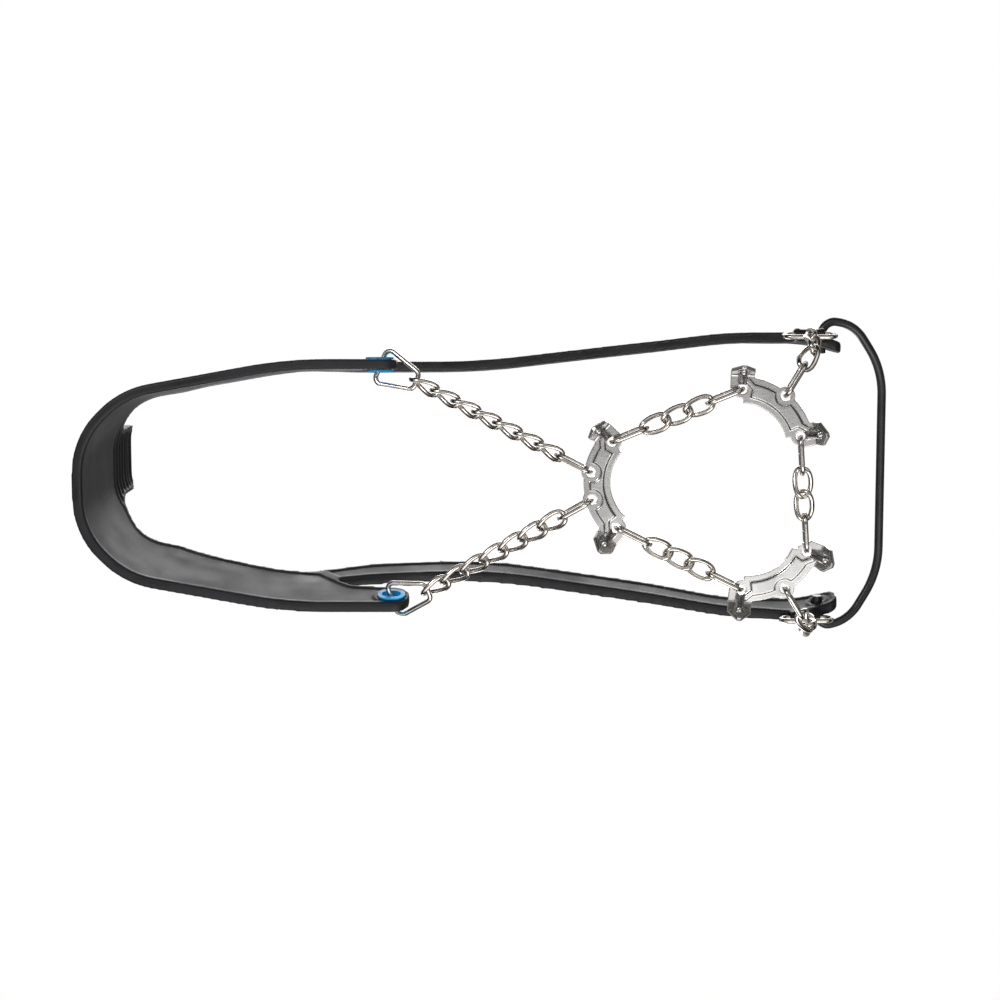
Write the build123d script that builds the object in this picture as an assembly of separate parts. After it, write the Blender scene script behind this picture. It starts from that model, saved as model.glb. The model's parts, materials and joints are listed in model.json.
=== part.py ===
from build123d import *

import math
import os

os.makedirs("parts", exist_ok=True)

# Frame: millimetres, worn position. +X points to the toe, +Y to the wearer's left, +Z up.
# The spike tips stand on Z = 0 and the origin is under the middle of the whole object.

# ---- driving dimensions ----
WIRE = 1.7                  # wire of every link and ring
BEARING_GAP = 0.2           # air left where two links bear on each other
CURB_PITCH = 8.0
CURB_HALF_WIDTH = 2.8       # centreline
CURB_TWIST = 36.0           # each crown turns this far from the middle plane
CURB_BEND = 2.1
CONNECTOR_LENGTH = 12.8     # centreline
CONNECTOR_HALF_WIDTH = 2.85
SEAM_WIDTH = 0.15
BEND_SLACK = 0.05           # how much smaller a round end's bend is than half the link's width

SHEET = 1.2                 # plate steel
PLATE_BOTTOM = 8.0          # height of the plate's lower face above the spike tips
PLATE_MIDDLE = PLATE_BOTTOM + SHEET / 2
PLATE_INNER_RADIUS = 16.0
PLATE_OUTER_RADIUS = 25.0
END_HOLE_RADIUS = 20.9      # distance of the end holes from the arc's centre
HOLE_DIAMETER = 3.4
HOLE_BORDER = 3.2           # radius of the rounded metal around a hole
NOTCH_ROUND = 1.0
EMBOSS = 0.8

TAB_WIDTH = 8.0
TAB_TIP_WIDTH = 1.4
TAB_BEND_RADIUS = 0.8
TAB_BEND_START = 25.2       # distance of the bend from the arc's centre
TAB_BEND_ANGLE = 67.0
TAB_SHOULDER = 3.6          # straight part of the folded tab before it narrows
GUSSET_RADIUS = 1.5

HEEL_RING_LENGTH = 14.2     # centreline
HEEL_RING_BACK = 6.6        # half width at the eyelet
HEEL_RING_FRONT = 3.0       # half width at the chain
HEEL_RING_BEND = 2.2
TOE_RING_LENGTH = 17.4
TOE_RING_HEIGHT = 5.4

BAND_THICKNESS = 3.6
BAND_LEAN = 12.0            # degrees that the harness leans in towards its top
BAND_REFERENCE = 31.0       # height at which the loop has its stated width
EYELET_HEIGHT = 27.0
EYELET_LENGTH = 6.6
EYELET_WIDTH = 4.6
INSERT_LENGTH = 9.6
INSERT_WIDTH = 7.8
INSERT_LIP = 0.7
INSERT_WALL = 0.9
LUG_REACH = 6.2             # from the eyelet's middle to the lug's rounded end
FIT = 0.15                  # air around an insert

SLEEVE_RADIUS = 2.3
SLEEVE_BORE = 1.15
SLEEVE_LENGTH = 11.0
BAIL_WIRE = 3.0
BAIL_PIVOT = (117.0, 41.0)  # X, Z
BAIL_RISE = 16.0            # degrees
# half of the bail in its own plane: how far ahead of the pivot, how far out, and the bend's radius
BAIL_HALF = [(0.0, 43.0, 0.0), (0.0, 54.5, 4.5), (12.0, 52.5, 14.0), (22.72, 36.0, 30.0)]

# arc centre X, Y, direction of the plate's bulge, half angle of its end holes, outer holes (radius, angle)
PLATES = {
    "rear_plate": ((59.6, -4.2), 176.8, 45.6, [(22.8, -12.0), (22.8, 12.0)]),
    "front_plate_right": ((87.4, -15.5), -50.6, 38.0, [(23.9, 0.0)]),
    "front_plate_left": ((91.0, 12.2), 59.1, 38.0, [(23.9, 0.0)]),
}
CURBS_REAR = 7
CURBS_MID = 3
CURBS_FRONT = 2

# where each rear chain meets its heel ring, and the X of each eyelet
RIGHT_CHAIN_END = Vector(-23.0, -36.8, 22.0)
LEFT_CHAIN_END = Vector(-19.2, 37.3, 22.0)
RIGHT_EYELET_X = -34.8
LEFT_EYELET_X = -31.2

# toe chains: heading and climb of the connector, then heading, climb and roll of each curb link
TOE_CONNECTOR_REACH = 11.9
TOE_SLACK = 0.4             # each link of a toe chain sits this much closer than its full pitch
TOE_CHAINS = {
    "right": ((-57.5, 12.0), [(-57.0, 40.0, -24.0), (-80.0, 70.0, 12.0), (90.0, 84.0, 54.0)]),
    "left": ((59.5, 12.0), [(58.0, 40.0, -48.0), (80.0, 70.0, -25.0), (-90.0, 84.0, -10.0)]),
}

EYELET_LOOP_Y = 42.3
# half of the loop that the harness follows, heel to toe: its corners before rounding, and their radii,
# at the outer face and the reference height (the last three only close the loop past the toe lugs)
LOOP_HALF = [
    (-138.0, 16.0, 28.0), (-122.0, 32.0, 30.0), (-66.0, EYELET_LOOP_Y, 150.0), (-4.0, EYELET_LOOP_Y, 250.0),
    (84.0, 52.2, 150.0), (122.0, 52.2, 60.0), (146.0, 36.0, 24.0), (160.0, 14.0, 16.0),
]
HEEL_TOP = 51.0             # height of the heel strap beside its pull tab
PULL_TAB_TOP = 76.0
PULL_TAB_HALF_WIDTH = 12.0
LOOP_BOTTOM = 14.0
LOOP_TOP = 80.0

# side views of the harness pieces, X and Z
LUG_LOW = EYELET_HEIGHT - 6.4
LUG_HIGH = EYELET_HEIGHT + 6.4
HEEL_JOIN = -62.0
TOE_JOIN = 88.0
BAND_JOIN_HIGH = 45.0


def turned(vector, axis, degrees):
    """A vector turned about an axis."""
    return vector.rotate(Axis((0, 0, 0), axis), degrees)


def side_of(direction, reference, roll):
    """The unit vector across a link: the reference, squared to the link's direction and rolled about it."""
    flat = reference - direction * reference.dot(direction)
    return turned(flat.normalized(), direction, roll)


def place(master, start, end, reference, roll):
    """Put a link that was drawn along X between two points, with its own plane rolled about its length."""
    direction = (end - start).normalized()
    side = side_of(direction, reference, roll)
    frame = Plane(origin=(start + end) / 2, x_dir=direction, z_dir=direction.cross(side))
    return frame.location * master


def wire_loop(corners, bends):
    """A closed loop of round wire through the corners, each rounded by its own bend radius."""
    path = FilletPolyline(*corners, radius=bends, close=True)
    pieces = []
    for edge in path.edges():
        section = Plane(origin=edge @ 0, z_dir=edge % 0) * Circle(WIRE / 2)
        pieces.append(sweep(section, path=edge))
    return Part() + pieces


def seam(x, y):
    """A thin cut across one strand, where the two ends of the wire meet."""
    return Pos(x, y, 0) * Box(SEAM_WIDTH, WIRE * 1.5, WIRE * 1.5)


def curb_master():
    """A twisted link along X: its two crowns lie in planes turned to opposite sides."""
    half = (CURB_PITCH + WIRE + BEARING_GAP) / 2
    across = Vector(0, CURB_HALF_WIDTH, 0)
    along = Vector(half, 0, 0)
    start = turned(across, Vector(1, 0, 0), CURB_TWIST)
    end = turned(across, Vector(1, 0, 0), -CURB_TWIST)
    corners = [along + end, along - end, -along - start, -along + start]
    return wire_loop(corners, CURB_BEND)


def oval_master(length, half_width, bend):
    """A flat oval link along X with its seam in the +Y strand."""
    corners = [
        Vector(length / 2, half_width, 0),
        Vector(length / 2, -half_width, 0),
        Vector(-length / 2, -half_width, 0),
        Vector(-length / 2, half_width, 0),
    ]
    return wire_loop(corners, bend) - seam(0, half_width)


def heel_ring_master():
    """A four-sided ring along X, narrow at the chain (-X) and wide at the eyelet (+X)."""
    half = HEEL_RING_LENGTH / 2
    corners = [
        Vector(half, HEEL_RING_BACK, 0),
        Vector(half, -HEEL_RING_BACK, 0),
        Vector(-half, -HEEL_RING_FRONT, 0),
        Vector(-half, HEEL_RING_FRONT, 0),
    ]
    ring = wire_loop(corners, HEEL_RING_BEND)
    middle = (HEEL_RING_BACK + HEEL_RING_FRONT) / 2
    return ring - seam(0, middle)


def polar(radius, degrees):
    """A point in a plate's own frame."""
    return (radius * math.cos(math.radians(degrees)), radius * math.sin(math.radians(degrees)))


def sector(inner, outer, half_angle):
    """A piece of a flat ring about the X axis."""
    reach = outer * 2
    wedge = Polygon((0, 0), polar(reach, -half_angle), (reach, 0), polar(reach, half_angle), align=None)
    return (Circle(outer) - Circle(inner)) & wedge


def rounded_notches(sketch, radius):
    """The sketch with its inward corners rounded."""
    return offset(offset(sketch, radius), -radius)


def plate_outline(end_angle, outer_holes):
    """The flat outline of a plate without its holes."""
    outline = sector(PLATE_INNER_RADIUS, PLATE_OUTER_RADIUS, end_angle - 2)
    for side in (-1, 1):
        hole = polar(END_HOLE_RADIUS, side * end_angle)
        outline += Pos(*hole) * Circle(HOLE_BORDER)
        base_length = TAB_BEND_START - END_HOLE_RADIUS
        base = Pos(END_HOLE_RADIUS + base_length / 2, 0) * Rectangle(base_length, TAB_WIDTH)
        outline += Rot(0, 0, side * end_angle) * base
    for radius, angle in outer_holes:
        outline += Pos(*polar(radius, angle)) * Circle(HOLE_BORDER)
    return rounded_notches(outline, NOTCH_ROUND)


def emboss_outline(end_angle, outer_holes):
    """The raised rib: it follows the arc, keeps clear of the holes and runs out to both tabs."""
    rib = sector(PLATE_INNER_RADIUS + 2, PLATE_OUTER_RADIUS - 1.9, end_angle - 8.5)
    for radius, angle in outer_holes:
        rib -= Pos(*polar(radius, angle)) * Circle(HOLE_BORDER)
    for side in (-1, 1):
        rib -= Pos(*polar(END_HOLE_RADIUS, side * end_angle)) * Circle(HOLE_BORDER)
        neck_start = polar(PLATE_OUTER_RADIUS - 3.6, side * (end_angle - 12))
        neck_end = polar(PLATE_OUTER_RADIUS - 0.6, side * (end_angle - 3))
        rib += trace(Line(neck_start, neck_end), 2.2)
    return rounded_notches(rib, 0.4)


def spike_tab():
    """A tab along +X, folded down to a point, with a pressed gusset across its fold."""
    bend_centre = PLATE_BOTTOM - TAB_BEND_RADIUS
    angle = math.radians(TAB_BEND_ANGLE)
    middle_radius = TAB_BEND_RADIUS + SHEET / 2
    fold_plane = Plane(origin=(TAB_BEND_START, 0, PLATE_MIDDLE), x_dir=(0, 1, 0), z_dir=(1, 0, 0))
    fold_section = fold_plane * Rectangle(TAB_WIDTH, SHEET)
    fold_axis = Axis((TAB_BEND_START, 0, bend_centre), (0, 1, 0))
    fold = revolve(fold_section, fold_axis, TAB_BEND_ANGLE)
    leaf_x = TAB_BEND_START + middle_radius * math.sin(angle)
    leaf_z = bend_centre + middle_radius * math.cos(angle)
    length = (leaf_z - SHEET / 2 * math.cos(angle)) / math.sin(angle)
    half = TAB_WIDTH / 2
    tip = TAB_TIP_WIDTH / 2
    leaf_plane = Plane(
        origin=(leaf_x, 0, leaf_z),
        x_dir=(math.cos(angle), 0, -math.sin(angle)),
        z_dir=(math.sin(angle), 0, math.cos(angle)),
    )
    face = Polygon(
        (0, -half), (TAB_SHOULDER, -half), (length, -tip), (length, tip), (TAB_SHOULDER, half), (0, half), align=None
    )
    leaf = extrude(leaf_plane * face, amount=SHEET / 2, both=True)
    gusset_high = Vector(TAB_BEND_START - 2.3, 0, PLATE_BOTTOM + 0.5)
    gusset_low = Vector(TAB_BEND_START + 2.0, 0, bend_centre - 2.6)
    run = gusset_low - gusset_high
    bar = Plane(origin=gusset_high, z_dir=run) * Cylinder(
        GUSSET_RADIUS, run.length, align=(Align.CENTER, Align.CENTER, Align.MIN)
    )
    gusset = bar + Pos(gusset_high) * Sphere(GUSSET_RADIUS) + Pos(gusset_low) * Sphere(GUSSET_RADIUS)
    above = Pos(TAB_BEND_START - 2.3, 0, PLATE_BOTTOM + SHEET + 2) * Box(12, 6, 4)
    return fold + leaf + (gusset - above)


def plate(centre, bulge, end_angle, outer_holes):
    """A stamped plate: flat sheet, pressed rib, two folded spike tabs and its chain holes."""
    sheet = extrude(Pos(0, 0, PLATE_BOTTOM) * plate_outline(end_angle, outer_holes), amount=SHEET)
    rib = emboss_outline(end_angle, outer_holes)
    raised = extrude(Pos(0, 0, PLATE_BOTTOM) * rib, amount=-EMBOSS, taper=35)
    sunk = extrude(Pos(0, 0, PLATE_BOTTOM + SHEET) * rib, amount=-EMBOSS, taper=35)
    body = sheet + raised - sunk
    for side in (-1, 1):
        body += Rot(0, 0, side * end_angle) * spike_tab()
    holes = [(END_HOLE_RADIUS, -end_angle), (END_HOLE_RADIUS, end_angle)] + outer_holes
    for radius, angle in holes:
        body -= Pos(*polar(radius, angle), PLATE_MIDDLE) * Cylinder(HOLE_DIAMETER / 2, SHEET * 4)
    return Pos(*centre) * Rot(0, 0, bulge) * body


def hole_of(name, radius, angle):
    """Where a hole of a placed plate is, at the middle of the sheet."""
    centre, bulge, _, _ = PLATES[name]
    x, y = polar(radius, bulge + angle)
    return Vector(centre[0] + x, centre[1] + y, PLATE_MIDDLE)


def end_hole(name, side):
    """Where the end hole on one side of a placed plate is."""
    return hole_of(name, END_HOLE_RADIUS, side * PLATES[name][2])


def toward(heading, climb):
    """The unit vector at a heading in plan and a climb above level, in degrees."""
    flat = math.cos(math.radians(climb))
    x, y = polar(flat, heading)
    return Vector(x, y, math.sin(math.radians(climb)))


def level_side(direction):
    """The level vector across a direction."""
    return Vector(0, 0, 1).cross(direction).normalized()


CURB = curb_master()
CONNECTOR = oval_master(CONNECTOR_LENGTH, CONNECTOR_HALF_WIDTH, CONNECTOR_HALF_WIDTH - BEND_SLACK)
HEEL_RING = heel_ring_master()
TOE_RING = oval_master(TOE_RING_LENGTH, TOE_RING_HEIGHT / 2, TOE_RING_HEIGHT / 2 - BEND_SLACK)
END_REACH = (WIRE + BEARING_GAP) / 2      # from a bearing point to the wire's centre

parts = {}


def connector(name, hole, bearing):
    """A connector link in an upright plane, from just inside a plate hole to its bearing on a curb link."""
    direction = (bearing - hole).normalized()
    far = bearing + direction * END_REACH
    near = far - direction * CONNECTOR_LENGTH
    parts[name] = place(CONNECTOR, near, far, level_side(direction), 90)


def curbs(name, start, end, count, first_roll, last_roll):
    """A straight run of curb links, each rolled a little further than the last."""
    direction = (end - start).normalized()
    for i in range(count):
        roll = first_roll + (last_roll - first_roll) * i / max(count - 1, 1)
        here = start + direction * CURB_PITCH * i
        there = here + direction * CURB_PITCH
        parts[f"{name}_curb_{i + 1}"] = place(CURB, here, there, level_side(direction), roll)


def plate_to_plate(name, first_hole, last_hole, count, first_name, last_name):
    """A chain between two plates: a connector at each end and curb links between them."""
    span = last_hole - first_hole
    direction = span.normalized()
    reach = (span.length - CURB_PITCH * count) / 2
    print(f"{name}: connector reach {reach:.2f}")
    start = first_hole + direction * reach
    end = last_hole - direction * reach
    connector(first_name, first_hole, start)
    curbs(name, start, end, count, 0, 0)
    connector(last_name, last_hole, end)


def rear_chain(side, hole, end, first_roll, last_roll, eyelet):
    """A rear chain from the rear plate up to its heel ring, which stands square to the band at the eyelet."""
    direction = (end - hole).normalized()
    start = end - direction * CURB_PITCH * CURBS_REAR
    print(f"rear_{side}: connector reach {(start - hole).length:.2f}")
    connector(f"rear_{side}_connector", hole, start)
    curbs(f"rear_{side}", start, end, CURBS_REAR, first_roll, last_roll)
    to_eyelet = (eyelet.origin - end).normalized()
    near = end - to_eyelet * END_REACH
    far = near + to_eyelet * HEEL_RING_LENGTH
    parts[f"heel_ring_{side}"] = place(HEEL_RING, near, far, eyelet.z_dir, 0)
    print(f"rear_{side}: ring back at {tuple(round(v, 1) for v in far)}")


def toe_chain(side):
    """A toe chain from a front plate's outer hole up the side of the toe to its toe ring."""
    plate_name = f"front_plate_{side}"
    (heading, climb), steps = TOE_CHAINS[side]
    radius, angle = PLATES[plate_name][3][0]
    hole = hole_of(plate_name, radius, angle)
    direction = toward(heading, climb)
    point = hole + direction * TOE_CONNECTOR_REACH
    connector(f"toe_{side}_connector", hole, point)
    reference = level_side(direction)
    for i, (heading, climb, roll) in enumerate(steps):
        ahead = point + toward(heading, climb) * (CURB_PITCH - TOE_SLACK)
        parts[f"toe_{side}_curb_{i + 1}"] = place(CURB, point, ahead, reference, roll)
        point = ahead
    rod = point + Vector(0, 0, TOE_RING_HEIGHT - END_REACH)
    ring_frame = Plane(origin=rod - Vector(0, 0, TOE_RING_HEIGHT / 2), x_dir=(1, 0, 0), z_dir=(0, -1, 0))
    parts[f"toe_ring_{side}"] = ring_frame.location * TOE_RING
    print(f"toe_{side}: rod {tuple(round(v, 1) for v in rod)}")
    return rod


def loop_prism(inset):
    """The solid inside the harness loop, moved inwards by the inset and leaning in towards the top."""
    mirrored = [(x, -y, radius) for x, y, radius in reversed(LOOP_HALF)]
    corners = [(x, y) for x, y, _ in LOOP_HALF + mirrored]
    radii = [radius for _, _, radius in LOOP_HALF + mirrored]
    outline = make_face(FilletPolyline(*corners, radius=radii, close=True))
    flare = (BAND_REFERENCE - LOOP_BOTTOM) * math.tan(math.radians(BAND_LEAN))
    foot = offset(outline, flare - inset / math.cos(math.radians(BAND_LEAN)))
    return extrude(Pos(0, 0, LOOP_BOTTOM) * foot, amount=LOOP_TOP - LOOP_BOTTOM, taper=BAND_LEAN)


def band_side_frame(side, x):
    """The frame on the middle of the band at an eyelet: Z along the band's thickness, X forward."""
    lean = math.radians(BAND_LEAN)
    rise = (BAND_REFERENCE - EYELET_HEIGHT) * math.tan(lean)
    y = side * (EYELET_LOOP_Y + rise - BAND_THICKNESS / 2 / math.cos(lean))
    outward = Vector(0, side * math.cos(lean), math.sin(lean))
    return Plane(origin=(x, y, EYELET_HEIGHT), x_dir=(1, 0, 0), z_dir=outward)


def slot_hole(length, width, depth):
    """A stadium-shaped plug about the origin."""
    return extrude(SlotOverall(length, width), amount=depth / 2, both=True)


def insert():
    """An eyelet insert: an oval bush with a lip on each face of the lug."""
    depth = BAND_THICKNESS + 2 * INSERT_LIP
    bush = slot_hole(EYELET_LENGTH + 2 * INSERT_WALL, EYELET_WIDTH + 2 * INSERT_WALL, depth)
    lip = slot_hole(INSERT_LENGTH, INSERT_WIDTH, INSERT_LIP - FIT)
    gap = BAND_THICKNESS / 2 + FIT + (INSERT_LIP - FIT) / 2
    body = bush + Pos(0, 0, gap) * lip + Pos(0, 0, -gap) * lip
    return body - slot_hole(EYELET_LENGTH, EYELET_WIDTH, depth * 2)


def heel_outline(eyelet_x):
    """Side view of the heel strap: tall at the back, narrow at the lug."""
    tip = eyelet_x + LUG_REACH
    return FilletPolyline(
        (-150, 20), (-100, 20), (eyelet_x - 18, LUG_LOW), (tip, LUG_LOW), (tip, LUG_HIGH), (eyelet_x - 14, 35.5),
        (HEEL_JOIN + 6, BAND_JOIN_HIGH), (HEEL_JOIN, BAND_JOIN_HIGH), (-95, 47), (-112, 54), (-116, PULL_TAB_TOP),
        (-150, PULL_TAB_TOP),
        radius=[20, 20, 6, 6, 6, 0.5, 0.5, 20, 6, 4], close=False,
    )


def closed_face(line):
    """The flat face inside an open path, closed with a straight line."""
    return make_face(line + Line(line @ 1, line @ 0))


def strap_cut(line, side):
    """A prism through the harness from a side view in X and Z, on one side only: -1 right, 1 left."""
    reach = 70
    face = Plane.XZ * closed_face(line)
    prism = extrude(face, amount=reach, both=True)
    half_space = Pos(10, side * reach / 2, 50) * Box(400, reach, 160)
    return prism & half_space


def pull_tab_cut():
    """A prism through the heel from a rear view in Y and Z: the full width, and a narrow tab above it."""
    shoulder = HEEL_TOP + 11
    half = [
        (70, 0), (70, HEEL_TOP), (2 * PULL_TAB_HALF_WIDTH, HEEL_TOP), (PULL_TAB_HALF_WIDTH, shoulder),
        (PULL_TAB_HALF_WIDTH, PULL_TAB_TOP),
    ]
    corners = [(-y, z) for y, z in half] + half[::-1]
    line = FilletPolyline(*corners, radius=[1, 8, 8, 5, 5, 8, 8, 1], close=False)
    return extrude(Plane.YZ * closed_face(line), amount=200, both=True)


def heel_band(blank):
    """The heel strap with its lugs: one piece, with an oval hole in each lug for its insert."""
    sides = strap_cut(heel_outline(RIGHT_EYELET_X), -1) + strap_cut(heel_outline(LEFT_EYELET_X), 1)
    band = blank & sides & pull_tab_cut()
    hole = slot_hole(
        EYELET_LENGTH + 2 * (INSERT_WALL + FIT), EYELET_WIDTH + 2 * (INSERT_WALL + FIT), BAND_THICKNESS * 4
    )
    for side, x in ((-1, RIGHT_EYELET_X), (1, LEFT_EYELET_X)):
        band -= band_side_frame(side, x).location * hole
    return band


def side_band(blank, side):
    """A side band: it climbs from the heel strap over the instep and comes down to the toe lug."""
    line = FilletPolyline(
        (HEEL_JOIN, 36.6), (-40, 43), (10, 47), (60, 43), (TOE_JOIN, 38.5),
        (TOE_JOIN, 47.5), (60, 53), (10, 57), (-40, 53), (HEEL_JOIN, BAND_JOIN_HIGH),
        radius=[30, 80, 60, 0.5, 0.5, 60, 80, 30], close=False,
    )
    return blank & strap_cut(line, side)


def toe_lug(blank, side, rod):
    """A toe lug: the front end of the harness, with a sleeve for the toe ring and a hole for the bail."""
    half = SLEEVE_LENGTH / 2
    line = FilletPolyline(
        (TOE_JOIN, 38.5), (rod.X - half - 8, 37.2), (rod.X - half, rod.Z + 0.5), (rod.X + half, rod.Z + 0.5),
        (rod.X + half + 6, 36.5), (BAIL_PIVOT[0] + 6, 46.5), (100, 47.5), (TOE_JOIN, 47.5),
        radius=[4, 0.5, 0.5, 3, 5, 6], close=False,
    )
    lug = blank & strap_cut(line, side)
    lug += Pos(rod) * Rot(0, 90, 0) * Cylinder(SLEEVE_RADIUS, SLEEVE_LENGTH)
    lug -= Pos(rod) * Rot(0, 90, 0) * Cylinder(SLEEVE_BORE, SLEEVE_LENGTH * 2)
    pin = Pos(BAIL_PIVOT[0], side * 50, BAIL_PIVOT[1]) * Rot(90, 0, 0)
    return lug - pin * Cylinder(BAIL_WIRE / 2 + 0.3, 40)


def toe_bail():
    """The wire over the toe cap, with both ends turned in through the toe lugs."""
    corners = [Vector(x, -y, 0) for x, y, _ in BAIL_HALF] + [Vector(x, y, 0) for x, y, _ in reversed(BAIL_HALF)]
    bends = [bend for _, _, bend in BAIL_HALF[1:]]
    frame = Plane(
        origin=(BAIL_PIVOT[0], 0, BAIL_PIVOT[1]),
        x_dir=turned(Vector(1, 0, 0), Vector(0, 1, 0), -BAIL_RISE),
        z_dir=turned(Vector(0, 0, 1), Vector(0, 1, 0), -BAIL_RISE),
    )
    path = frame.location * FilletPolyline(*corners, radius=bends + bends[::-1], close=False)
    pieces = []
    for edge in path.edges():
        section = Plane(origin=edge @ 0, z_dir=edge % 0) * Circle(BAIL_WIRE / 2)
        pieces.append(sweep(section, path=edge))
    return Part() + pieces


for name, (centre, bulge, end_angle, outer_holes) in PLATES.items():
    parts[name] = plate(centre, bulge, end_angle, outer_holes)

for side, sign, chain_end, eyelet_x, rolls in (
    ("right", -1, RIGHT_CHAIN_END, RIGHT_EYELET_X, (-50, -50)),
    ("left", 1, LEFT_CHAIN_END, LEFT_EYELET_X, (-14, -38)),
):
    eyelet = band_side_frame(sign, eyelet_x)
    rear_hole = hole_of("rear_plate", *PLATES["rear_plate"][3][(1 - sign) // 2])
    rear_chain(side, rear_hole, chain_end, *rolls, eyelet)
    front_name = f"front_plate_{side}"
    plate_to_plate(
        f"mid_{side}", end_hole("rear_plate", -sign), end_hole(front_name, sign), CURBS_MID,
        f"mid_{side}_rear_connector", f"mid_{side}_front_connector",
    )
    parts[f"eyelet_insert_{side}"] = eyelet.location * insert()

plate_to_plate(
    "front", end_hole("front_plate_right", 1), end_hole("front_plate_left", -1), CURBS_FRONT,
    "front_right_connector", "front_left_connector",
)
rods = {side: toe_chain(side) for side in ("right", "left")}

blank = loop_prism(0) - loop_prism(BAND_THICKNESS)
parts["heel_band"] = heel_band(blank)
for side, sign in (("right", -1), ("left", 1)):
    parts[f"side_band_{side}"] = side_band(blank, sign) - parts["heel_band"]
    parts[f"toe_lug_{side}"] = toe_lug(blank, sign, rods[side])
parts["toe_bail"] = toe_bail()

for name, shape in parts.items():
    export_step(shape, f"parts/{name}.step")

whole = Compound(children=[Part(shape.wrapped) for shape in parts.values()]).bounding_box()
print("box", whole.min, whole.max)
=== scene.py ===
"""Shoe ice cleats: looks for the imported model, seen from the spikes' side."""

import json
import math

import bmesh
import bpy
import numpy as np
from mathutils import Matrix, Vector
from mathutils.kdtree import KDTree


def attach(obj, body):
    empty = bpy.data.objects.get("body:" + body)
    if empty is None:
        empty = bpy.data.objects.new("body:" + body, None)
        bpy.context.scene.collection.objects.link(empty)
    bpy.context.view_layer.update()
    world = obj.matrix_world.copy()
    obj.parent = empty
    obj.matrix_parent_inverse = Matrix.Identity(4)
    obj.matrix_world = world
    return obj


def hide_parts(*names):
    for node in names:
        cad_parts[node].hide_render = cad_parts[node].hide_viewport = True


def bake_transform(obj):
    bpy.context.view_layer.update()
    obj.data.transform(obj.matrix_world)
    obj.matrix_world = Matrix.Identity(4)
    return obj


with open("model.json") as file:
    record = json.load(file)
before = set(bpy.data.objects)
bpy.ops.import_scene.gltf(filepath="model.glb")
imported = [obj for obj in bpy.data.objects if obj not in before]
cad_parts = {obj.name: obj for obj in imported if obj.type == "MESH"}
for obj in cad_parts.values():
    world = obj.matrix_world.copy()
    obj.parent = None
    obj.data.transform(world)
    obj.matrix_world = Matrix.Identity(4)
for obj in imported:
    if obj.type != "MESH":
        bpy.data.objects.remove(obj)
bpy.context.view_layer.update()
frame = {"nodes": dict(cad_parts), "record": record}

MM = 0.001

# ---- camera: below the spikes and a little towards the wearer's right ----
CAMERA_TILT = math.radians(12.0)
CAMERA_AIM = Vector((6.3, 2.0, 8.6)) * MM
CAMERA_DISTANCE = 1.3
CAMERA_FIELD = 339 * MM          # width of what the camera sees at its aim
SENSOR = 36.0

# what the metal reflects, from straight below to straight above: how far up from 0 to 1, and how bright
STUDIO_BANDS = [
    (0.0, 0.2),
    (0.05, 0.25),
    (0.11, 1.0),
    (0.22, 0.9),
    (0.31, 0.03),
    (0.6, 0.03),
    (0.72, 0.5),
    (1.0, 0.6),
]
ZONE_SCALE = 1.9                 # of the noise that dims parts of the studio
ZONE_SPAN = (0.42, 0.55)         # the noise's values at which a zone is dimmest and brightest
ZONE_DIMMEST = 0.25

# ---- softboxes: name, place in metres, side in metres, power in watts ----
LIGHTS = [
    ("key", (-0.45, -0.45, -0.7), 0.25, 2.0),
    ("sheet", (0.16, 0.43, -0.6), 0.56, 2.6),
    ("top", (0.1, -0.3, 0.95), 0.7, 6.0),
    ("back", (-0.2, 0.8, 0.5), 0.5, 3.0),
]

# ---- floor ----
FLOOR_HALF = 2.5
FLOOR_DROP = 0.2 * MM            # how far the floor lies under the spike tips
FLOOR_COLOUR = (0.86, 0.86, 0.87)
FLOOR_ROUGHNESS = 0.7

# ---- surfaces with cloudy patches and a fine grain ----
# constants: sockets of the shader that are the same all over
# patches and grain: a noise's scale in turns per metre, and its detail
# colours and roughness: both ends of the range that the patches run through
# relief: the grain's strength and its depth
CLOUDED_SURFACES = {
    # bright plated wire: clean and a little warm
    "chain_steel": {
        "constants": {"Metallic": 1.0},
        "patches": (260.0, 2.0),
        "colours": ((0.80, 0.77, 0.72), (0.58, 0.53, 0.47)),
        "roughness": (0.12, 0.26),
        "grain": (2600.0, 3.0),
        "relief": (0.12, 0.00005),
    },
    # black moulded elastomer: satin, a little paler where it is rubbed
    "harness_elastomer": {
        "constants": {"Specular IOR Level": 0.35},
        "patches": (70.0, 3.0),
        "colours": ((0.010, 0.010, 0.012), (0.022, 0.022, 0.025)),
        "roughness": (0.38, 0.56),
        "grain": (2400.0, 2.0),
        "relief": (0.22, 0.00008),
    },
    # blue moulded plastic of the eyelets
    "insert_blue": {
        "constants": {},
        "patches": (220.0, 2.0),
        "colours": ((0.0, 0.40, 0.86), (0.0, 0.48, 0.95)),
        "roughness": (0.3, 0.42),
        "grain": (3000.0, 1.0),
        "relief": (0.1, 0.00005),
    },
    # black coating on the toe bail's wire, with an orange-peel surface
    "bail_coating": {
        "constants": {"Coat Weight": 0.15},
        "patches": (150.0, 2.0),
        "colours": ((0.016, 0.016, 0.017), (0.028, 0.027, 0.027)),
        "roughness": (0.3, 0.42),
        "grain": (900.0, 1.0),
        "relief": (0.25, 0.0001),
    },
}

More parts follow.
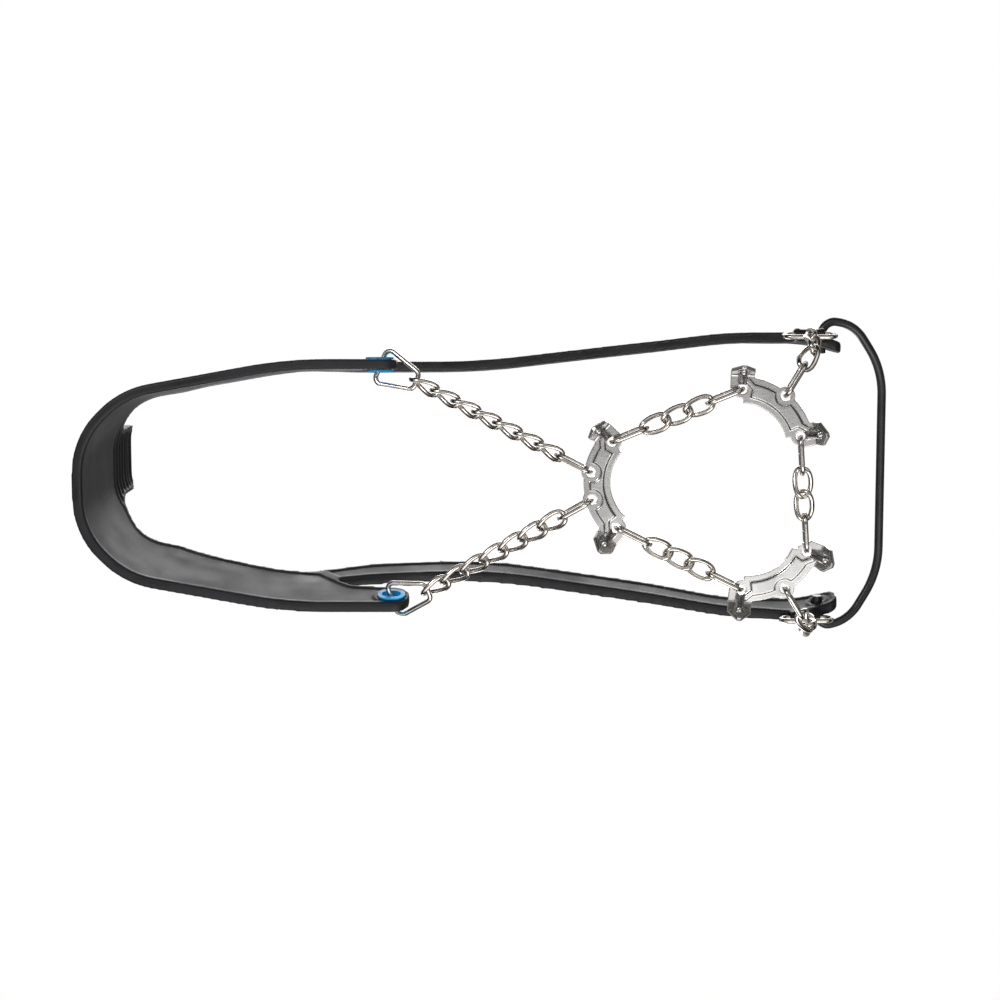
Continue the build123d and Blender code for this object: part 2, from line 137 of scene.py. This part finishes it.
# ---- plates ----
PLATE_GRAIN_STRETCH = (1, 8, 1)
PLATE_GRAIN_SCALE = 300.0
PLATE_PATCH_SCALE = 90.0
PLATE_COLOURS = ((0.56, 0.55, 0.53), (0.42, 0.41, 0.40))
# painted highlight: the paler colour mixed onto the plates along their edges
PLATE_EDGE_HIGHLIGHT_COLOUR = (0.86, 0.85, 0.83)
PLATE_ROUGHNESS = (0.25, 0.34)
PLATE_EDGE_ROUGHNESS = 0.2
PLATE_RELIEF = (0.05, 0.00006)   # the grain's strength and its depth
PLATE_EDGE_RADIUS = 0.00055      # of the rounding that only the light sees
PLATE_EDGE_SAMPLES = 8
PLATE_EDGE_SPAN = (0.9, 0.995)   # cosines between which the painted edge highlight turns into plain metal

# ---- harness ----
HARNESS_NODES = ("heel_band", "side_band_right", "side_band_left", "toe_lug_right", "toe_lug_left")
HEEL_JOIN = -62 * MM             # X where the heel strap's solid meets the side bands'
TOE_JOIN = 88 * MM               # X where the side bands' solids meet the toe lugs'
JOIN_OVERLAP = 1.5 * MM
JOIN_RIM_REACH = 0.2 * MM        # edges this near a join get no rim
JOIN_TOLERANCE = 0.01 * MM
WELD_DISTANCE = 0.001 * MM
VOXEL = 0.55 * MM
SMOOTHING_PASSES = 7
SMOOTHING_FACTOR = 0.5
RIM_ANGLE = math.radians(40)
RIM_STEP = 0.6 * MM
RIM_WIDTH = 1.5 * MM
RIM_SLOPE = 1.1 * MM
PANEL_DEPTH = 0.42 * MM
TAB_RIB_PITCH = 3.0 * MM
TAB_RIB_HEIGHT = 0.5 * MM
TAB_RIB_LOW = 56 * MM
TAB_RIB_HIGH = 71 * MM
TAB_RIB_FADE = 2 * MM
EDGE_FROM = -112 * MM            # stretch of X along which the harness's top edge is smoothed
EDGE_TO = 106 * MM
EDGE_FADE = 12 * MM
EDGE_STATION = 1 * MM
EDGE_SPREAD = 10 * MM            # standard deviation of the smoothing
EDGE_LOW = 36.5 * MM             # heights between which the smoothing takes hold
EDGE_HIGH = 43 * MM

# ---- curb links: the curve that the middle of the wire follows ----
CURB_HALF_LENGTH = 4.95 * MM
CURB_HALF_WIDTH = 2.7 * MM
CURB_TWIST = math.radians(-36)   # turn of the crown at +X from the link's middle plane
CURB_SQUARENESS = 2.7            # exponent of the outline: 2 would be an ellipse
CURB_STEPS = 72
WIRE_RADIUS = 0.85 * MM
WIRE_SIDES = 18


def smoothstep(low, high, values):
    """0 below low, 1 above high, and smooth between them."""
    t = np.clip((values - low) / (high - low), 0, 1)
    return t * t * (3 - 2 * t)


# ---------------------------------------------------------------- materials

def new_material(name):
    """A material with its node tree and its Principled shader."""
    material = bpy.data.materials.new(name)
    material.use_nodes = True
    return material, material.node_tree, material.node_tree.nodes["Principled BSDF"]


def add(tree, kind, **settings):
    """A node with some of its sockets or properties set."""
    node = tree.nodes.new(kind)
    for key, value in settings.items():
        if key in node.inputs:
            node.inputs[key].default_value = value
        else:
            setattr(node, key, value)
    return node


def object_place(tree, stretch=(1, 1, 1)):
    """Object coordinates in metres, stretched."""
    coordinates = add(tree, "ShaderNodeTexCoord")
    mapping = add(tree, "ShaderNodeMapping", Scale=stretch)
    tree.links.new(coordinates.outputs["Object"], mapping.inputs["Vector"])
    return mapping.outputs["Vector"]


def noise(tree, place, scale, detail=2.0):
    """A noise value at a scale in turns per metre."""
    node = add(tree, "ShaderNodeTexNoise", Scale=scale, Detail=detail)
    tree.links.new(place, node.inputs["Vector"])
    return node.outputs["Fac"]


def spread(tree, value, low, high, from_low=0.3, from_high=0.7):
    """A value mapped from one range to another."""
    node = add(tree, "ShaderNodeMapRange")
    ends = {"From Min": from_low, "From Max": from_high, "To Min": low, "To Max": high}
    for key, number in ends.items():
        node.inputs[key].default_value = number
    tree.links.new(value, node.inputs["Value"])
    return node.outputs["Result"]


def tint(tree, value, first, second):
    """A colour between two, by a value from 0 to 1."""
    node = add(tree, "ShaderNodeMix", data_type="RGBA")
    node.inputs["A"].default_value = (*first, 1)
    node.inputs["B"].default_value = (*second, 1)
    tree.links.new(value, node.inputs["Factor"])
    return node.outputs["Result"]


def bump(tree, shader, height, strength, distance, base=None):
    """A fine relief on a shader, over another normal if there is one."""
    node = add(tree, "ShaderNodeBump", Strength=strength, Distance=distance)
    tree.links.new(height, node.inputs["Height"])
    if base:
        tree.links.new(base, node.inputs["Normal"])
    tree.links.new(node.outputs["Normal"], shader.inputs["Normal"])


def edge_mask(tree, rounded):
    """1 near a sharp edge and 0 on flat metal, from how far the rounded normal leaves the true one."""
    geometry = add(tree, "ShaderNodeNewGeometry")
    dot = add(tree, "ShaderNodeVectorMath", operation="DOT_PRODUCT")
    tree.links.new(rounded.outputs["Normal"], dot.inputs[0])
    tree.links.new(geometry.outputs["Normal"], dot.inputs[1])
    return spread(tree, dot.outputs["Value"], 1.0, 0.0, *PLATE_EDGE_SPAN)


def clouded(name, constants, patches, colours, roughness, grain, relief):
    """A surface whose colour and gloss change in cloudy patches, with a fine grain."""
    material, tree, shader = new_material(name)
    for key, value in constants.items():
        shader.inputs[key].default_value = value
    place = object_place(tree)
    cloud = noise(tree, place, *patches)
    tree.links.new(tint(tree, spread(tree, cloud, 0, 1), *colours), shader.inputs["Base Color"])
    tree.links.new(spread(tree, cloud, *roughness), shader.inputs["Roughness"])
    bump(tree, shader, noise(tree, place, *grain), *relief)
    return material


def plate_steel():
    """Satin rolled sheet with a painted highlight along its edges, where the colour is paler and the
    metal smoother.
    """
    material, tree, shader = new_material("plate_steel")
    shader.inputs["Metallic"].default_value = 1.0
    grain = noise(tree, object_place(tree, PLATE_GRAIN_STRETCH), PLATE_GRAIN_SCALE)
    cloud = noise(tree, object_place(tree), PLATE_PATCH_SCALE)
    rounded = add(tree, "ShaderNodeBevel", Radius=PLATE_EDGE_RADIUS, samples=PLATE_EDGE_SAMPLES)
    edge = edge_mask(tree, rounded)
    satin = tint(tree, spread(tree, cloud, 0, 1), *PLATE_COLOURS)
    # painted highlight: along the edges the satin colour gives way to a paler one
    edge_highlight = add(tree, "ShaderNodeMix", data_type="RGBA")
    edge_highlight.inputs["B"].default_value = (*PLATE_EDGE_HIGHLIGHT_COLOUR, 1)
    tree.links.new(satin, edge_highlight.inputs["A"])
    tree.links.new(edge, edge_highlight.inputs["Factor"])
    tree.links.new(edge_highlight.outputs["Result"], shader.inputs["Base Color"])
    rough = add(tree, "ShaderNodeMix", data_type="FLOAT")
    rough.inputs["B"].default_value = PLATE_EDGE_ROUGHNESS
    tree.links.new(spread(tree, grain, *PLATE_ROUGHNESS), rough.inputs["A"])
    tree.links.new(edge, rough.inputs["Factor"])
    tree.links.new(rough.outputs["Result"], shader.inputs["Roughness"])
    bump(tree, shader, grain, *PLATE_RELIEF, rounded.outputs["Normal"])
    return material


MATERIALS = {name: clouded(name, **surface) for name, surface in CLOUDED_SURFACES.items()}
MATERIALS["plate_steel"] = plate_steel()

for part in frame["record"]["subparts"]:
    mesh = frame["nodes"][part["node"]].data
    mesh.materials.clear()
    mesh.materials.append(MATERIALS[part["material_slot"]])


# ---------------------------------------------------------------- harness

def on_join(edge):
    """True for an edge at a plane where two of the harness's solids meet."""
    for join in (HEEL_JOIN, TOE_JOIN):
        if all(abs(vertex.co.x - join) < JOIN_RIM_REACH for vertex in edge.verts):
            return True
    return False


def rim_points(mesh):
    """Points along the outward edges of a solid, which the moulded rim follows."""
    points = []
    for edge in mesh.edges:
        outward = len(edge.link_faces) == 2 and edge.is_convex and edge.calc_face_angle(0) > RIM_ANGLE
        if outward and not on_join(edge):
            a, b = (v.co for v in edge.verts)
            steps = max(1, math.ceil((b - a).length / RIM_STEP))
            points += [a.lerp(b, i / steps) for i in range(steps + 1)]
    return points


def overlap_joins(mesh):
    """Push the side bands' ends a little way into the solids that they meet, so that they fuse."""
    for vertex in mesh.verts:
        if abs(vertex.co.x - HEEL_JOIN) < JOIN_TOLERANCE:
            vertex.co.x -= JOIN_OVERLAP
        elif abs(vertex.co.x - TOE_JOIN) < JOIN_TOLERANCE:
            vertex.co.x += JOIN_OVERLAP


def joined_solids():
    """The harness's solids as one mesh, and the points of their rims."""
    joined = bmesh.new()
    rims = []
    for node in HARNESS_NODES:
        solid = bmesh.new()
        solid.from_mesh(frame["nodes"][node].data)
        bmesh.ops.remove_doubles(solid, verts=solid.verts, dist=WELD_DISTANCE)
        rims += rim_points(solid)
        if node.startswith("side_band"):
            overlap_joins(solid)
        piece = bpy.data.meshes.new(node)
        solid.to_mesh(piece)
        joined.from_mesh(piece)
        bpy.data.meshes.remove(piece)
        solid.free()
    mesh = bpy.data.meshes.new("harness_solids")
    joined.to_mesh(mesh)
    joined.free()
    return mesh, rims


def fused(mesh):
    """One closed skin round the overlapping solids, with its edges rounded."""
    source = bpy.data.objects.new("harness_source", mesh)
    bpy.context.scene.collection.objects.link(source)
    modifier = source.modifiers.new("skin", "REMESH")
    modifier.mode = "VOXEL"
    modifier.voxel_size = VOXEL
    evaluated = source.evaluated_get(bpy.context.evaluated_depsgraph_get())
    skin = bpy.data.meshes.new_from_object(evaluated)
    bpy.data.objects.remove(source)
    rounded = bmesh.new()
    rounded.from_mesh(skin)
    for _ in range(SMOOTHING_PASSES):
        bmesh.ops.smooth_vert(
            rounded,
            verts=rounded.verts,
            factor=SMOOTHING_FACTOR,
            use_axis_x=True,
            use_axis_y=True,
            use_axis_z=True,
        )
    rounded.to_mesh(skin)
    rounded.free()
    return skin


def relief(points, distance):
    """How far each point of the skin is sunk: a panel between the rims, with ribs on the pull tab."""
    panel = smoothstep(RIM_WIDTH, RIM_WIDTH + RIM_SLOPE, distance)
    height = points[:, 2]
    on_tab = smoothstep(TAB_RIB_LOW, TAB_RIB_LOW + TAB_RIB_FADE, height)
    on_tab *= 1 - smoothstep(TAB_RIB_HIGH, TAB_RIB_HIGH + TAB_RIB_FADE, height)
    ribs = (0.5 + 0.5 * np.cos(2 * math.pi * height / TAB_RIB_PITCH)) * on_tab
    return panel * (PANEL_DEPTH - TAB_RIB_HEIGHT * ribs)


def edge_shift(points):
    """How far each point rises so that the harness's long edges run in smooth curves."""
    stations = np.arange(EDGE_FROM, EDGE_TO, EDGE_STATION) + EDGE_STATION / 2
    reach = math.ceil(3 * EDGE_SPREAD / EDGE_STATION)
    kernel = np.exp(-0.5 * (np.arange(-reach, reach + 1) * EDGE_STATION / EDGE_SPREAD) ** 2)
    kernel /= kernel.sum()
    hold = smoothstep(EDGE_FROM, EDGE_FROM + EDGE_FADE, stations)
    hold *= 1 - smoothstep(EDGE_TO - EDGE_FADE, EDGE_TO, stations)
    x, height = points[:, 0], points[:, 2]
    shift = np.zeros(len(points))
    for side in (-1, 1):
        chosen = (points[:, 1] * side > 0) & (x > EDGE_FROM) & (x < EDGE_TO)
        top = np.zeros(len(stations))
        station = ((x[chosen] - EDGE_FROM) / EDGE_STATION).astype(int).clip(0, len(stations) - 1)
        np.maximum.at(top, station, height[chosen])
        smooth = np.convolve(np.pad(top, reach, mode="edge"), kernel, mode="valid")
        shift[chosen] = np.interp(x[chosen], stations, (smooth - top) * hold)
    return shift * smoothstep(EDGE_LOW, EDGE_HIGH, height)


def build_harness():
    """The elastomer harness as one moulded piece."""
    solids, rims = joined_solids()
    skin = fused(solids)
    tree = KDTree(len(rims))
    for i, point in enumerate(rims):
        tree.insert(point, i)
    tree.balance()
    points = np.array([v.co for v in skin.vertices])
    normals = np.array([v.normal for v in skin.vertices])
    distance = np.array([tree.find(v.co)[2] for v in skin.vertices])
    moved = points - normals * relief(points, distance)[:, None]
    moved[:, 2] += edge_shift(moved)
    skin.vertices.foreach_set("co", moved.astype(np.float32).ravel())
    skin.update()
    skin.shade_smooth()
    skin.materials.clear()
    skin.materials.append(MATERIALS["harness_elastomer"])
    harness = bpy.data.objects.new("harness", skin)
    bpy.context.scene.collection.objects.link(harness)
    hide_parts(*HARNESS_NODES)
    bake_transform(harness)


build_harness()


# ---------------------------------------------------------------- curb links

def signed_power(values, power):
    """A power that keeps the sign."""
    return np.sign(values) * np.abs(values) ** power


def curb_curve():
    """The middle of a curb link's wire, and the normal of the link's twisted plane beside it."""
    turn = np.linspace(0, 2 * math.pi, CURB_STEPS, endpoint=False)
    x = CURB_HALF_LENGTH * signed_power(np.cos(turn), 2 / CURB_SQUARENESS)
    across = CURB_HALF_WIDTH * signed_power(np.sin(turn), 2 / CURB_SQUARENESS)
    twist = CURB_TWIST * x / CURB_HALF_LENGTH
    flat_normal = np.stack([0 * x, -np.sin(twist), np.cos(twist)], axis=1)
    return np.stack([x, across * np.cos(twist), across * np.sin(twist)], axis=1), flat_normal


def curb_skin():
    """The points and faces of a curb link's round wire."""
    middle, flat_normal = curb_curve()
    along = np.roll(middle, -1, axis=0) - np.roll(middle, 1, axis=0)
    along /= np.linalg.norm(along, axis=1)[:, None]
    outward = np.cross(along, flat_normal)
    outward /= np.linalg.norm(outward, axis=1)[:, None]
    upward = np.cross(outward, along)
    points = []
    for angle in np.linspace(0, 2 * math.pi, WIRE_SIDES, endpoint=False):
        points.append(middle + WIRE_RADIUS * (math.cos(angle) * outward + math.sin(angle) * upward))
    points = np.stack(points, axis=1).reshape(-1, 3)
    faces = []
    for i in range(CURB_STEPS):
        ahead = (i + 1) % CURB_STEPS
        for j in range(WIRE_SIDES):
            beside = (j + 1) % WIRE_SIDES
            ring = [(i, j), (ahead, j), (ahead, beside), (i, beside)]
            faces.append([step * WIRE_SIDES + side for step, side in ring])
    return points, faces


def link_axes(mesh):
    """The middle of a link's solid, and its long, wide and thin directions as the rows of a matrix."""
    centres = np.array([face.center for face in mesh.polygons])
    areas = np.array([face.area for face in mesh.polygons])
    middle = np.average(centres, axis=0, weights=areas)
    _, directions = np.linalg.eigh(np.cov((centres - middle).T, aweights=areas))
    long, wide = directions[:, 2], directions[:, 1]
    return middle, np.stack([long, wide, np.cross(long, wide)])


def build_curbs():
    """Each curb link as a smoothly twisted wire, in the place of its solid."""
    points, faces = curb_skin()
    for body, nodes in frame["record"]["behaviour"]["bodies"].items():
        if "_curb_" not in body:
            continue
        middle, axes = link_axes(frame["nodes"][nodes[0]].data)
        mesh = bpy.data.meshes.new(f"{body}_wire")
        mesh.from_pydata([tuple(p) for p in points @ axes + middle], [], faces)
        mesh.shade_smooth()
        mesh.materials.append(MATERIALS["chain_steel"])
        link = bpy.data.objects.new(f"{body}_wire", mesh)
        bpy.context.scene.collection.objects.link(link)
        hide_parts(*nodes)
        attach(link, body)


build_curbs()


# ---------------------------------------------------------------- stage

def one_sided(colour, roughness):
    """A plain surface that is clear from behind, so that the camera sees past it from below."""
    material, tree, shader = new_material("floor")
    shader.inputs["Base Color"].default_value = (*colour, 1)
    shader.inputs["Roughness"].default_value = roughness
    clear = add(tree, "ShaderNodeBsdfTransparent")
    side = add(tree, "ShaderNodeNewGeometry")
    mix = add(tree, "ShaderNodeMixShader")
    tree.links.new(side.outputs["Backfacing"], mix.inputs[0])
    tree.links.new(shader.outputs["BSDF"], mix.inputs[1])
    tree.links.new(clear.outputs["BSDF"], mix.inputs[2])
    tree.links.new(mix.outputs["Shader"], tree.nodes["Material Output"].inputs["Surface"])
    return material


def build_floor():
    """A pale floor just under the spike tips, which lets the lights below reach the underside."""
    mesh = bpy.data.meshes.new("floor")
    corners = [
        (-FLOOR_HALF, -FLOOR_HALF, 0),
        (FLOOR_HALF, -FLOOR_HALF, 0),
        (FLOOR_HALF, FLOOR_HALF, 0),
        (-FLOOR_HALF, FLOOR_HALF, 0),
    ]
    mesh.from_pydata(corners, [], [(0, 1, 2, 3)])
    mesh.materials.append(one_sided(FLOOR_COLOUR, FLOOR_ROUGHNESS))
    floor = bpy.data.objects.new("floor", mesh)
    bpy.context.scene.collection.objects.link(floor)
    floor.location.z = -FLOOR_DROP
    floor.visible_shadow = False
    floor.visible_glossy = False
    floor.visible_diffuse = False


def area_light(name, place, size, energy):
    """A square softbox aimed at the object."""
    data = bpy.data.lights.new(name, "AREA")
    data.shape = "SQUARE"
    data.size = size
    data.energy = energy
    light = bpy.data.objects.new(name, data)
    light.location = place
    light.rotation_mode = "QUATERNION"
    light.rotation_quaternion = (CAMERA_AIM - Vector(place)).to_track_quat("-Z", "Y")
    bpy.context.scene.collection.objects.link(light)


def build_world():
    """White behind the object. What the metal reflects is a studio of bright and dark zones."""
    world = bpy.data.worlds.new("studio")
    bpy.context.scene.world = world
    world.use_nodes = True
    tree = world.node_tree
    tree.nodes.clear()
    coordinates = add(tree, "ShaderNodeTexCoord")
    zones = add(tree, "ShaderNodeTexNoise", Scale=ZONE_SCALE, Detail=0.0)
    tree.links.new(coordinates.outputs["Generated"], zones.inputs["Vector"])
    split = add(tree, "ShaderNodeSeparateXYZ")
    tree.links.new(coordinates.outputs["Generated"], split.inputs["Vector"])
    height = spread(tree, split.outputs["Z"], 0, 1, -1, 1)
    bands = add(tree, "ShaderNodeValToRGB")
    bands.color_ramp.elements[0].color = (*[STUDIO_BANDS[0][1]] * 3, 1)
    bands.color_ramp.elements[1].color = (*[STUDIO_BANDS[-1][1]] * 3, 1)
    for place, brightness in STUDIO_BANDS[1:-1]:
        bands.color_ramp.elements.new(place).color = (*[brightness] * 3, 1)
    tree.links.new(height, bands.inputs["Fac"])
    shade = spread(tree, zones.outputs["Fac"], ZONE_DIMMEST, 1, *ZONE_SPAN)
    studio = add(tree, "ShaderNodeVectorMath", operation="SCALE")
    tree.links.new(bands.outputs["Color"], studio.inputs["Vector"])
    tree.links.new(shade, studio.inputs["Scale"])
    path = add(tree, "ShaderNodeLightPath")
    seen = add(tree, "ShaderNodeMix", data_type="RGBA")
    seen.inputs["B"].default_value = (1, 1, 1, 1)
    tree.links.new(path.outputs["Is Camera Ray"], seen.inputs["Factor"])
    tree.links.new(studio.outputs["Vector"], seen.inputs["A"])
    background = add(tree, "ShaderNodeBackground", Strength=1.0)
    output = add(tree, "ShaderNodeOutputWorld")
    tree.links.new(seen.outputs["Result"], background.inputs["Color"])
    tree.links.new(background.outputs["Background"], output.inputs["Surface"])


def build_camera():
    """The camera, looking up at the spikes."""
    towards = Vector((0, math.sin(CAMERA_TILT), math.cos(CAMERA_TILT)))
    data = bpy.data.cameras.new("camera")
    data.sensor_width = SENSOR
    data.lens = SENSOR * CAMERA_DISTANCE / CAMERA_FIELD
    camera = bpy.data.objects.new("camera", data)
    camera.location = CAMERA_AIM - towards * CAMERA_DISTANCE
    right = Vector((1, 0, 0))
    up = right.cross(towards)
    camera.rotation_mode = "QUATERNION"
    camera.rotation_quaternion = Matrix((right, up, -towards)).transposed().to_quaternion()
    bpy.context.scene.collection.objects.link(camera)
    bpy.context.scene.camera = camera


bpy.context.scene.view_settings.view_transform = "Standard"
build_floor()
build_world()
for name, place, size, energy in LIGHTS:
    area_light(name, place, size, energy)
build_camera()
